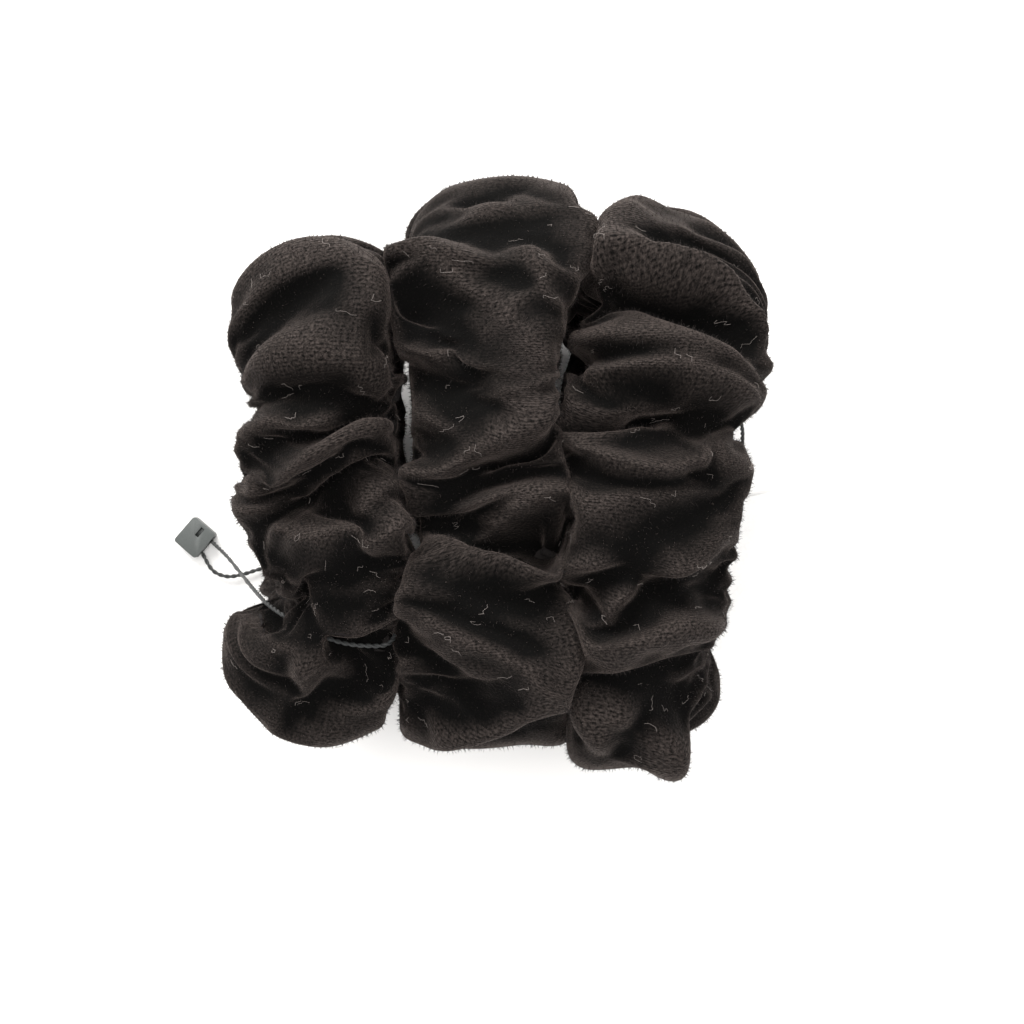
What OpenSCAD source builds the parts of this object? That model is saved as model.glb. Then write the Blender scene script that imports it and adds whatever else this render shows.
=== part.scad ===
// A bundle of three gathered velvet scrunchies standing side by side on their edges.
// Each one is a sleeve of cloth gathered on a loop of elastic. The two outer ones carry
// a folded paper hang card on a twisted cord, which a small plastic seal closes.
// Millimetres, +Z up. The origin is the middle of the face that the middle scrunchie rests on.

/* [Gathered sleeves] */
// Width of a gathered sleeve, along the row of scrunchies
sleeve_w = 36; // [28:0.5:44]
// Thickness of a gathered sleeve, from the outside of the loop to its inside
sleeve_t = 30; // [24:0.5:36]
// Rounding of the gathered sleeve's four long edges
sleeve_round = 12; // [8:0.5:14]
// Height of each loop, standing on its edge
loop_h = 76; // [68:0.5:96]
// Length of the left loop
left_len = 116; // [96:1:140]
// Length of the middle loop
middle_len = 133; // [110:1:160]
// Length of the right loop
right_len = 133; // [110:1:160]
// Thickness of the crumpled cloth that makes the sleeve's wall
cloth_t = 1.2; // [0.6:0.1:2]

/* [Places in the bundle] */
// Room between the left and middle sleeves
left_gap = 3.5; // [2.5:0.5:8]
// Room between the right and middle sleeves at the middle of their length
right_gap = 4.5; // [4:0.5:9]
// How far the left loop's middle lies along the row's depth
left_y = -3; // [-10:0.5:10]
// How far the right loop's middle lies along the row's depth
right_y = -2.5; // [-10:0.5:10]
// How far the right loop is turned, in degrees
right_turn = -4; // [-4:0.5:0]

/* [Elastic] */
// Width of the elastic
elastic_w = 8; // [4:0.5:12]
// Thickness of the elastic
elastic_t = 1.4; // [0.8:0.1:2]
// Length over which the elastic's ends lap
elastic_lap = 13; // [8:0.5:18]
// Number of bars of thread across the lap
elastic_bars = 5; // [3:1:7]

/* [Seams] */
// Width of the long seam's allowance, folded inside the sleeve
seam_w = 5; // [3:0.5:6]
// Thickness of the long seam's allowance, two layers of cloth
seam_t = 1.6; // [1:0.1:2.4]
// Width of the band where one end of the sleeve is tucked into the other
closing_w = 8; // [5:0.5:12]
// Thickness of the tucked band
closing_t = 0.8; // [0.5:0.1:1.2]
// Angle of the tucked band below the loop's end, in degrees
closing_down = 35; // [0:1:40]
// Thickness of the sewing thread
thread_d = 0.5; // [0.3:0.1:0.8]
// Distance from stitch to stitch
stitch_pitch = 3; // [2:0.5:5]

/* [Hang cards] */
// Length of a folded card
card_l = 63.5; // [50:0.5:80]
// Height of a folded card, from its fold to its free edge
card_w = 38; // [30:0.5:46]
// Thickness of one leaf of the card
leaf_t = 0.35; // [0.2:0.05:0.5]
// Gap between the two leaves
leaf_gap = 0.1; // [0.05:0.05:0.2]
// Radius of the card's hole
hole_r = 2.3; // [2.3:0.1:3]
// Distance from the card's free edge to the middle of its hole
hole_inset = 4.5; // [4:0.5:7]
// Direction of the left card's long side, in degrees
left_card_turn = 229.5; // [215:0.5:245]
// Direction of the right card's long side, in degrees
right_card_turn = 12; // [5:0.5:15]

/* [Cords and seals] */
// Diameter of the twisted tag cord
cord_d = 1.1; // [0.8:0.1:1.1]
// Length of a seal, along its two cord ends
seal_l = 7.4; // [7:0.1:10]
// Width of a seal, across its two cord ends
seal_w = 8.3; // [7.6:0.1:10]
// Height of a seal
seal_h = 3; // [2.8:0.1:4]
// Distance between a seal's two cord ends
seal_pitch = 3.8; // [3.6:0.1:4.4]

/* [Hidden] */

$fn = 96;
slack = 0.1;          // room between a soft piece and what it is wrapped round
inner_room = 0.4;     // room between the sleeve's inside and what lies in it
bite = 0.1;           // how far a stitch sinks into what it sews

// The cards slope, because the cord passes under them to reach the hole.
card_t = 2 * leaf_t + leaf_gap;
under_card = 0.3;     // room over the cord where it passes under the card
card_slope = asin((cord_d + under_card) / (card_w - hole_inset));
card_top = card_w * sin(card_slope) + card_t;
over_card = 0.5;      // room between a card's highest edge and the sleeve above it
outer_base = card_top + over_card;

// The loop's own measures, from its middle to the outside, middle and inside of the sleeve.
outside_r = loop_h / 2;
middle_r = outside_r - sleeve_t / 2;
inside_r = outside_r - sleeve_t;
elastic_r = inside_r + cloth_t + inner_room;
lap_r = elastic_r + elastic_t + slack;

// Each loop's place: middle along X and Y, height of its lowest face, turn and length.
left_place = [-(sleeve_w + left_gap), left_y, outer_base, 0, left_len];
middle_place = [0, 0, 0, 0, middle_len];
right_place = [sleeve_w + right_gap, right_y, outer_base, right_turn, right_len];

// The card holes, which are the axes that the cards swing on.
left_hole = [-53.5, -23.5];
right_hole = [45.6, -15];

// The seals: the middle of each one's lowest face, and the direction of its cord ends.
left_seal = [-77.5, -16.5, 1.9];
left_seal_turn = -41;
right_seal = [59.6, 0, 2.4];
right_seal_turn = -90;
cord_z = seal_h / 2;  // height of the cord ends in a seal

// The cords' routes, from the plug's end to the body's end, as points chosen by hand.
left_route = [[-73.4, -17.5, 3.4], [-68, -21, 11.5], [-62, -24.5, 26], [-56.3, -27.7, 40.5],
    [-51.5, -30.4, 51], [-47.5, -32.4, 57], [-43.5, -34.3, 60.3], [-38.5, -36.6, 62],
    [-33, -38.6, 63], [-27.5, -39.4, 63], [-22.3, -39, 62.2], [-20.7, -35.6, 56.8],
    [-20.6, -31.4, 47.5], [-20.5, -27.8, 35], [-21, -25, 20.5], [-23.2, -22.9, 11.5],
    [-29, -21.8, 3.4],
    [-35, -21.6, 0.8], [-42, -22, 0.6], [-50, -23, 0.6], [-53.5, -23.5, 1.85],
    [-57, -23.8, 3.2], [-61.5, -25, 3.3], [-65.4, -26.2, 3.3], [-69.5, -26.7, 3.3],
    [-73.2, -25, 3.3], [-75.9, -20.4, 3.4]];
right_route = [[61.5, -3.7, 3.9], [61.6, -7.5, 4], [62.2, -11.6, 5.6], [63, -12.4, 9.6],
    [63.4, -8.8, 12.8], [63.1, -3, 15.5], [62.6, 2, 18.5], [62, 6.5, 23], [61.2, 10.5, 28],
    [59.2, 13.5, 32.2], [55.5, 14.5, 34], [50, 14.5, 33.8], [42, 14.5, 33.3], [34, 14.5, 33.3],
    [28, 14, 32.3], [24.4, 13, 27], [23.2, 11, 19], [24.2, 9, 11], [28, 6.5, 4.5], [34, 3, 1],
    [40.6, -4.5, 0.6], [44.8, -11.5, 0.6], [45.6, -15, 1.85], [45.9, -18.5, 3.2],
    [46.1, -21.8, 3.3], [46.3, -25, 3.4], [47.4, -27.7, 3.4], [50.2, -28.9, 3.4],
    [53, -27.7, 3.4], [54.1, -25, 3.4], [53.8, -20, 3.4], [53.9, -14.5, 3.5], [55.2, -9, 3.7],
    [57.7, -3.7, 3.9]];
rings_per_step = 2;   // rings of the swept cord from one route point to the next
cord_sides = 8;

// A rectangle with round corners, its sides along the loop's radius and its axis.
module round_rect(radial, axial, round) {
    square([radial - 2 * round, axial], center = true);
    square([radial, axial - 2 * round], center = true);
    for (x = [-1, 1], y = [-1, 1])
        translate([x * (radial / 2 - round), y * (axial / 2 - round)])
            circle(r = round);
}

// The gathered sleeve's section at the loop's middle radius, grown by that much.
module sleeve_section(grow) {
    translate([middle_r, 0])
        round_rect(sleeve_t + 2 * grow, sleeve_w + 2 * grow, sleeve_round + grow);
}

// Sweeps a section round a loop of two straight runs and two half-round ends.
module round_the_loop(place) {
    run = place[4] - loop_h;
    for (turn = [0, 180])
        rotate([0, 0, turn]) {
            translate([run / 2, 0, 0])
                rotate([0, 0, -90])
                    rotate_extrude(angle = 180)
                        children();
            translate([-run / 2, 0, 0])
                rotate([90, 0, 90])
                    linear_extrude(height = run)
                        children();
        }
}

// Sweeps a section round part of the loop's far end, centred on the angle at.
module round_the_end(place, at, span) {
    translate([(place[4] - loop_h) / 2, 0, 0])
        rotate([0, 0, at - span / 2])
            rotate_extrude(angle = span)
                children();
}

// Stands a loop on its edge in its place: its length goes along Y and its axis along X.
module stand(place) {
    translate([place[0], place[1], place[2] + outside_r])
        rotate([0, 0, place[3]])
            rotate([90, 0, 90])
                children();
}

module cover(place) {
    color("#17110f")
        stand(place)
            round_the_loop(place)
                difference() {
                    sleeve_section(0);
                    sleeve_section(-cloth_t);
                }
}

module elastic(place) {
    color("#2b2b2d")
        stand(place)
            round_the_loop(place)
                translate([elastic_r, -elastic_w / 2])
                    square([elastic_t, elastic_w]);
}

module long_seam(place) {
    color("#241a17")
        stand(place)
            round_the_loop(place)
                translate([middle_r - seam_w / 2, sleeve_w / 2 - cloth_t - inner_room - seam_t])
                    square([seam_w, seam_t]);
}

module elastic_lap(place) {
    span = elastic_lap / lap_r * 180 / PI;
    color("#333336")
        stand(place)
            round_the_end(place, 0, span)
                translate([lap_r, -elastic_w / 2])
                    square([elastic_t, elastic_w]);
}

module elastic_stitches(place) {
    span = elastic_lap / lap_r * 180 / PI;
    bar = elastic_w * 0.75;
    color("#0c0c0d")
        stand(place)
            for (i = [0 : elastic_bars - 1])
                translate([(place[4] - loop_h) / 2, 0, 0])
                    rotate([0, 0, span * ((i + 0.5) / elastic_bars - 0.5)])
                        translate([lap_r + elastic_t - bite, -thread_d / 2, -bar / 2])
                            cube([thread_d, thread_d, bar]);
}

module closing_band(place) {
    color("#1d1512")
        stand(place)
            round_the_end(place, -closing_down, closing_w / middle_r * 180 / PI)
                difference() {
                    sleeve_section(slack + closing_t);
                    sleeve_section(slack);
                }
}

module closing_stitches(place) {
    span = closing_w / middle_r * 180 / PI;
    flat = sleeve_w - 2 * sleeve_round;
    color("#0a0808")
        stand(place)
            for (y = [-flat / 2 : stitch_pitch : flat / 2])
                for (side = [-1, 1])
                    round_the_end(place, -closing_down, span / 2)
                        translate([middle_r + side * (sleeve_t / 2 + slack + closing_t)
                            - (side > 0 ? bite : thread_d - bite), y - thread_d / 2])
                            square([thread_d, thread_d]);
}

// A folded card: two leaves joined by a half-round fold, lying on its fold.
module folded_card() {
    fold_r = card_t / 2;
    rotate([90, 0, 90])
        linear_extrude(height = card_l)
            difference() {
                union() {
                    translate([0, fold_r])
                        circle(r = fold_r);
                    square([card_w, card_t]);
                }
                translate([0, leaf_t])
                    square([card_w + 1, leaf_gap]);
            }
}

module tag_card(hole, turn) {
    color("#f4f2ee")
        difference() {
            translate([hole[0], hole[1], 0])
                rotate([0, 0, turn])
                    translate([-card_l / 2, -(card_w - hole_inset) * cos(card_slope), 0])
                        rotate([card_slope, 0, 0])
                            folded_card();
            translate([hole[0], hole[1], -1])
                cylinder(r = hole_r, h = card_top + 2);
        }
}

// A point on a smooth curve through four points, for t from the second to the third.
function between(a, b, c, d, t) =
    0.5 * (2 * b + (c - a) * t + (2 * a - 5 * b + 4 * c - d) * t * t
        + (3 * b - a - 3 * c + d) * t * t * t);

function held(points, i) = points[max(0, min(len(points) - 1, i))];

function along(points) = concat(
    [for (i = [0 : len(points) - 2], k = [0 : rings_per_step - 1])
        between(held(points, i - 1), points[i], points[i + 1], held(points, i + 2),
            k / rings_per_step)],
    [points[len(points) - 1]]);

function unit(v) = v / norm(v);

// A direction square to the line, carried along it without twist.
function carried(side, ahead) = unit(side - (side * ahead) * ahead);

function sides(dirs, i = 0, last = [0.3, 0.2, 1]) =
    i == len(dirs) ? [] :
    let (s = carried(last, dirs[i])) concat([s], sides(dirs, i + 1, s));

module cord_tube(points) {
    line = along(points);
    n = len(line);
    m = cord_sides;
    dirs = [for (i = [0 : n - 1]) unit(held(line, i + 1) - held(line, i - 1))];
    across = sides(dirs);
    ring_points = [for (i = [0 : n - 1], k = [0 : m - 1])
        line[i] + cord_d / 2 * (cos(360 * k / m) * across[i]
            + sin(360 * k / m) * cross(dirs[i], across[i]))];
    walls = [for (i = [0 : n - 2], k = [0 : m - 1])
        [i * m + k, (i + 1) * m + k, (i + 1) * m + (k + 1) % m, i * m + (k + 1) % m]];
    polyhedron(points = ring_points, faces = concat(walls,
        [[for (k = [0 : m - 1]) k], [for (k = [m - 1 : -1 : 0]) (n - 1) * m + k]]));
}

module tag_cord(points) {
    color("#1c1c1e")
        cord_tube(points);
}

module at_seal(place, turn) {
    translate(place)
        rotate([0, 0, turn])
            children();
}

plug_t = seal_h * 0.5;      // height of the plug's tongue
plug_w = seal_pitch * 0.7;  // width of the plug's tongue
plug_l = seal_l * 0.7;      // how far the tongue goes in
fit = 0.08;                 // room round the tongue in its pocket
window = [1, 2.6];          // the latch window's size, along and across the seal
seal_edge = 0.8;            // rounding of the seal's corners

// The seal's block, with a pocket for the plug and a small window over its latch.
module seal_body(place, turn) {
    color("#4b504e")
        at_seal(place, turn)
            difference() {
                linear_extrude(height = seal_h)
                    round_rect(seal_l, seal_w, seal_edge);
                translate([seal_l / 2 - plug_l - fit, seal_pitch / 2 - plug_w / 2 - fit,
                    cord_z - plug_t / 2 - fit])
                    cube([plug_l + 1, plug_w + 2 * fit, plug_t + 2 * fit]);
                translate([-seal_l * 0.05, seal_pitch / 2 - plug_w / 2, cord_z])
                    cube([window[0], window[1], seal_h]);
            }
}

// The plug: a tongue in the pocket, with the cord's other end moulded in it.
module seal_plug(place, turn) {
    color("#3d4240")
        at_seal(place, turn)
            difference() {
                translate([seal_l / 2 - plug_l, seal_pitch / 2 - plug_w / 2, cord_z - plug_t / 2])
                    cube([plug_l, plug_w, plug_t]);
                translate([-seal_l * 0.05, seal_pitch / 2 - plug_w, cord_z + plug_t / 4])
                    cube([window[0], 2 * plug_w, plug_t]);
            }
}

cover(left_place);  // left_cover
elastic(left_place);  // left_elastic
long_seam(left_place);  // left_long_seam
elastic_lap(left_place);  // left_elastic_lap
elastic_stitches(left_place);  // left_elastic_stitches
closing_band(left_place);  // left_closing_band
closing_stitches(left_place);  // left_closing_stitches
cover(middle_place);  // middle_cover
elastic(middle_place);  // middle_elastic
long_seam(middle_place);  // middle_long_seam
elastic_lap(middle_place);  // middle_elastic_lap
elastic_stitches(middle_place);  // middle_elastic_stitches
closing_band(middle_place);  // middle_closing_band
closing_stitches(middle_place);  // middle_closing_stitches
cover(right_place);  // right_cover
elastic(right_place);  // right_elastic
long_seam(right_place);  // right_long_seam
elastic_lap(right_place);  // right_elastic_lap
elastic_stitches(right_place);  // right_elastic_stitches
closing_band(right_place);  // right_closing_band
closing_stitches(right_place);  // right_closing_stitches
tag_card(left_hole, left_card_turn);  // left_tag_card
tag_cord(left_route);  // left_tag_cord
seal_body(left_seal, left_seal_turn);  // left_seal_body
seal_plug(left_seal, left_seal_turn);  // left_seal_plug
tag_card(right_hole, right_card_turn);  // right_tag_card
tag_cord(right_route);  // right_tag_cord
seal_body(right_seal, right_seal_turn);  // right_seal_body
seal_plug(right_seal, right_seal_turn);  // right_seal_plug
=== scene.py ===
import math

import bpy
import numpy as np
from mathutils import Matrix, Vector


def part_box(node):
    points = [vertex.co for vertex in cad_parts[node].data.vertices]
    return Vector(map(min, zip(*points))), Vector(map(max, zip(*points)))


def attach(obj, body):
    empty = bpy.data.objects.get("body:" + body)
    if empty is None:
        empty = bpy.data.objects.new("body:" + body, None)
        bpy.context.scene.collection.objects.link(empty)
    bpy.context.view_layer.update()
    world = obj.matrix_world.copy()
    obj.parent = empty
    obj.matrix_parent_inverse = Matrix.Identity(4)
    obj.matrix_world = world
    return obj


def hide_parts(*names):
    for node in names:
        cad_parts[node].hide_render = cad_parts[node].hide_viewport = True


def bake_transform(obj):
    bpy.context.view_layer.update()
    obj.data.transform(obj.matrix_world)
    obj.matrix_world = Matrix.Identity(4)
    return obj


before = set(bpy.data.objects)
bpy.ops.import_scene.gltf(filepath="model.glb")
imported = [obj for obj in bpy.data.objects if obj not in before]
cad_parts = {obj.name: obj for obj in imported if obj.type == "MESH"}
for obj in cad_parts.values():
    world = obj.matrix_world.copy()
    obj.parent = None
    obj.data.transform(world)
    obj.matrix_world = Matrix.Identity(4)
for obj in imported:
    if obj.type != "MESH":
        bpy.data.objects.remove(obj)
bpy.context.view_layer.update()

# Everything below is worked out in millimetres and turned into metres when a mesh is made.
MM = 0.001


# ---------------------------------------------------------------- the loops' measures

SIDES = ("left", "middle", "right")
PLACE = {"left": (-39.5, -3.0), "middle": (0.0, 0.0), "right": (40.5, -2.5)}   # middle of each loop
TURN = {"left": 0.0, "middle": 0.0, "right": -4.0}       # degrees about the vertical
LENGTH = {"left": 116.0, "middle": 133.0, "right": 133.0}
BASE = {side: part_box(f"{side}_cover")[0][2] / MM for side in SIDES}            # lowest height
LOOP_H = 76.0            # height of a loop standing on its edge
CORE_R = 23.0            # from the loop's middle to the sleeve's middle, round the ends
SLOT_R = 8.7             # from the loop's middle to the cloth beside the hair
ELASTIC_R = (9.6, 11.0)  # inner and outer faces of the elastic
ELASTIC_W = 8.0
CLOTH_T = 0.7            # thickness of the velvet, without its pile
STRIP_W = 110.0          # the velvet strip, cut flat
STRIP_L = {"left": 370.0, "middle": 420.0, "right": 420.0}
CLOSING_DOWN = 35.0      # degrees below the level of the loop's far end
CLOSING_HALF = 8         # stations of the refined cloth on each side of the closing
SEAM_W = 5.0
SEAM_T = 1.6
STITCH_PITCH = 3.0
CORD_D = 1.1
CORD_TWIST = 3.4         # length of one turn of the plies

# The cloth's grid: stations along the strip and rows across it, twice refined after draping.
STATIONS = 172
ROWS = 36
REFINE = 2


# ---------------------------------------------------------------- small helpers

def mesh_object(name, points, faces, uv=None, smooth=True):
    mesh = bpy.data.meshes.new(name)
    mesh.from_pydata((np.asarray(points) * MM).tolist(), [], faces)
    mesh.update()
    if smooth:
        mesh.polygons.foreach_set("use_smooth", [True] * len(mesh.polygons))
    if uv is not None:
        layer = mesh.uv_layers.new(name="cloth")
        layer.data.foreach_set("uv", np.asarray(uv, dtype="f").reshape(-1))
    piece = bpy.data.objects.new(name, mesh)
    bpy.context.scene.collection.objects.link(piece)
    return piece


def unit(v):
    return v / np.maximum(np.linalg.norm(v, axis=-1, keepdims=True), 1e-9)


def smooth_step(t):
    t = np.clip(t, 0.0, 1.0)
    return t * t * (3 - 2 * t)


def spline(points, steps):
    """A smooth line through the points, with that many steps between neighbours."""
    points = np.asarray(points, dtype=float)
    last = len(points) - 1
    line = []
    for i in range(last):
        a, b, c, d = (points[min(max(k, 0), last)] for k in (i - 1, i, i + 1, i + 2))
        for t in np.arange(steps) / steps:
            line.append(0.5 * (2 * b + (c - a) * t + (2 * a - 5 * b + 4 * c - d) * t ** 2
                               + (3 * b - a - 3 * c + d) * t ** 3))
    line.append(points[-1])
    return np.array(line)


def ring_faces(rings, around, closed=False):
    """Quads between neighbouring rings of points; a closed run joins its last ring to its first."""
    faces = []
    for i in range(rings if closed else rings - 1):
        j = (i + 1) % rings
        for k in range(around):
            m = (k + 1) % around
            faces.append((i * around + k, i * around + m, j * around + m, j * around + k))
    return faces


def tube(line, radius, sides=10, twist=0.0, offset=0.0, phase=0.0):
    """Points and faces of a tube along a line; offset and twist wind it round the line as a ply."""
    line = np.asarray(line, dtype=float)
    along = unit(np.gradient(line, axis=0))
    across = np.zeros_like(line)
    across[0] = unit(np.cross(along[0], (0.31, 0.17, 0.93)))
    for i in range(1, len(line)):
        across[i] = unit(across[i - 1] - along[i] * np.dot(across[i - 1], along[i]))
    third = np.cross(along, across)
    run = np.concatenate([[0], np.cumsum(np.linalg.norm(np.diff(line, axis=0), axis=1))])
    if offset:
        wind = phase + 2 * math.pi * run / twist
        line = line + offset * (np.cos(wind)[:, None] * across + np.sin(wind)[:, None] * third)
    turn = np.arange(sides) * 2 * math.pi / sides
    points = (line[:, None] + radius * (np.cos(turn)[None, :, None] * across[:, None]
                                        + np.sin(turn)[None, :, None] * third[:, None]))
    n = len(line)
    faces = ring_faces(n, sides)
    faces.append(tuple(range(sides - 1, -1, -1)))
    faces.append(tuple((n - 1) * sides + k for k in range(sides)))
    return points.reshape(-1, 3), faces


def joined(parts):
    """One list of points and one of faces from several."""
    points, faces, count = [], [], 0
    for p, f in parts:
        points.append(p)
        faces += [tuple(i + count for i in face) for face in f]
        count += len(p)
    return np.concatenate(points), faces


def to_bundle(side, local):
    """From a loop's own X, Y and height to the bundle's frame."""
    x, y = PLACE[side]
    a = math.radians(TURN[side])
    out = np.array(local, dtype=float)
    out[..., 0] = x + local[..., 0] * math.cos(a) - local[..., 1] * math.sin(a)
    out[..., 1] = y + local[..., 0] * math.sin(a) + local[..., 1] * math.cos(a)
    out[..., 2] = local[..., 2] + BASE[side]
    return out


def loop_line(side, share, radius):
    """The point at a share of the way round a loop's line, and the direction outward from it.

    The line is two straight runs and two half rounds of that radius; the share counts from the
    top run's near end, along the top, round the far end and back below."""
    run = LENGTH[side] - LOOP_H
    whole = 2 * run + 2 * math.pi * radius
    s = (share % 1.0) * whole
    half = math.pi * radius
    if s < run:
        point, out = (s - run / 2, radius), (0.0, 1.0)
    elif s < run + half:
        a = math.pi / 2 - (s - run) / radius
        point, out = (run / 2 + radius * math.cos(a), radius * math.sin(a)), (math.cos(a), math.sin(a))
    elif s < 2 * run + half:
        point, out = (run / 2 - (s - run - half), -radius), (0.0, -1.0)
    else:
        a = -math.pi / 2 - (s - 2 * run - half) / radius
        point, out = (-run / 2 + radius * math.cos(a), radius * math.sin(a)), (math.cos(a), math.sin(a))
    return np.array(point) + (0.0, LOOP_H / 2), np.array(out)


# ---------------------------------------------------------------- camera, floor and light

def camera():
    data = bpy.data.cameras.new("above")
    data.sensor_width = 36.0
    data.lens = 52.1
    eye = bpy.data.objects.new("above", data)
    eye.location = (5 * MM, -9.9 * MM, 390 * MM)
    bpy.context.scene.collection.objects.link(eye)
    bpy.context.scene.camera = eye


def paper_floor():
    half, corner = 900.0, ((-1, -1), (1, -1), (1, 1), (-1, 1))
    floor = mesh_object("paper_floor", [(x * half, y * half, -0.05) for x, y in corner], [(0, 1, 2, 3)])
    paper = bpy.data.materials.new("white paper")
    paper.use_nodes = True
    shader = paper.node_tree.nodes["Principled BSDF"]
    shader.inputs["Base Color"].default_value = (0.97, 0.963, 0.955, 1)
    shader.inputs["Roughness"].default_value = 0.9
    shader.inputs["Specular IOR Level"].default_value = 0.1
    floor.data.materials.append(paper)


def soft_light(name, place, size, power, colour, aim=(0.0, 0.0, 30.0)):
    data = bpy.data.lights.new(name, "AREA")
    data.shape = "RECTANGLE"
    data.size, data.size_y = size[0] * MM, size[1] * MM
    data.energy = power
    data.color = colour
    lamp = bpy.data.objects.new(name, data)
    lamp.location = Vector(place) * MM
    lamp.rotation_euler = (Vector(aim) * MM - lamp.location).to_track_quat("-Z", "Y").to_euler()
    bpy.context.scene.collection.objects.link(lamp)


def studio_light():
    world = bpy.data.worlds.new("white room")
    world.use_nodes = True
    back = world.node_tree.nodes["Background"]
    back.inputs["Color"].default_value = (1.0, 0.99, 0.98, 1)
    back.inputs["Strength"].default_value = 0.95
    bpy.context.scene.world = world
    soft_light("window", (-260, 620, 420), (500, 400), 9.0, (1.0, 0.985, 0.96))
    soft_light("ceiling", (120, 60, 900), (700, 700), 6.0, (1.0, 0.99, 0.98))
    bpy.context.scene.view_settings.view_transform = "Standard"


# ---------------------------------------------------------------- cords

# The cords' routes from the plug's end to the seal's, the same points as in the design.
ROUTE = {
    "left": [(-73.4, -17.5, 3.4), (-68, -21, 11.5), (-62, -24.5, 26), (-56.3, -27.7, 40.5),
             (-51.5, -30.4, 51), (-47.5, -32.4, 57), (-43.5, -34.3, 60.3), (-38.5, -36.6, 62),
             (-33, -38.6, 63), (-27.5, -39.4, 63), (-22.3, -39, 62.2), (-20.7, -35.6, 56.8),
             (-20.6, -31.4, 47.5), (-20.5, -27.8, 35), (-21, -25, 20.5), (-23.2, -22.9, 11.5),
             (-29, -21.8, 3.4),
             (-35, -21.6, 0.8), (-42, -22, 0.6), (-50, -23, 0.6), (-53.5, -23.5, 1.85),
             (-57, -23.8, 3.2), (-61.5, -25, 3.3), (-65.4, -26.2, 3.3), (-69.5, -26.7, 3.3),
             (-73.2, -25, 3.3), (-75.9, -20.4, 3.4)],
    "right": [(61.5, -3.7, 3.9), (61.6, -7.5, 4), (62.2, -11.6, 5.6), (63, -12.4, 9.6),
              (63.4, -8.8, 12.8), (63.1, -3, 15.5), (62.6, 2, 18.5), (62, 6.5, 23),
              (61.2, 10.5, 28), (59.2, 13.5, 32.2), (55.5, 14.5, 34), (50, 14.5, 33.8),
              (42, 14.5, 33.3), (34, 14.5, 33.3), (28, 14, 32.3), (24.4, 13, 27),
              (23.2, 11, 19), (24.2, 9, 11), (28, 6.5, 4.5), (34, 3, 1), (40.6, -4.5, 0.6),
              (44.8, -11.5, 0.6), (45.6, -15, 1.85), (45.9, -18.5, 3.2), (46.1, -21.8, 3.3),
              (46.3, -25, 3.4), (47.4, -27.7, 3.4), (50.2, -28.9, 3.4), (53, -27.7, 3.4),
              (54.1, -25, 3.4), (53.8, -20, 3.4), (53.9, -14.5, 3.5), (55.2, -9, 3.7),
              (57.7, -3.7, 3.9)],
}
PLY_SHARE = 0.29         # a ply's radius as a share of the cord's diameter
CORD_LINE = {side: spline(points, 12) for side, points in ROUTE.items()}


def twisted_cord(side, material):
    """Two plies of waxed yarn wound round each other along the route."""
    ply = CORD_D * PLY_SHARE
    plies = [tube(CORD_LINE[side], ply, 10, CORD_TWIST, CORD_D / 2 - ply, phase)
             for phase in (0.0, math.pi)]
    points, faces = joined(plies)
    cord = mesh_object(f"{side}_cord", points, faces)
    cord.data.materials.append(material)
    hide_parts(f"{side}_tag_cord")
    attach(cord, f"{side}_loop")


# ---------------------------------------------------------------- folds of the sleeves

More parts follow.
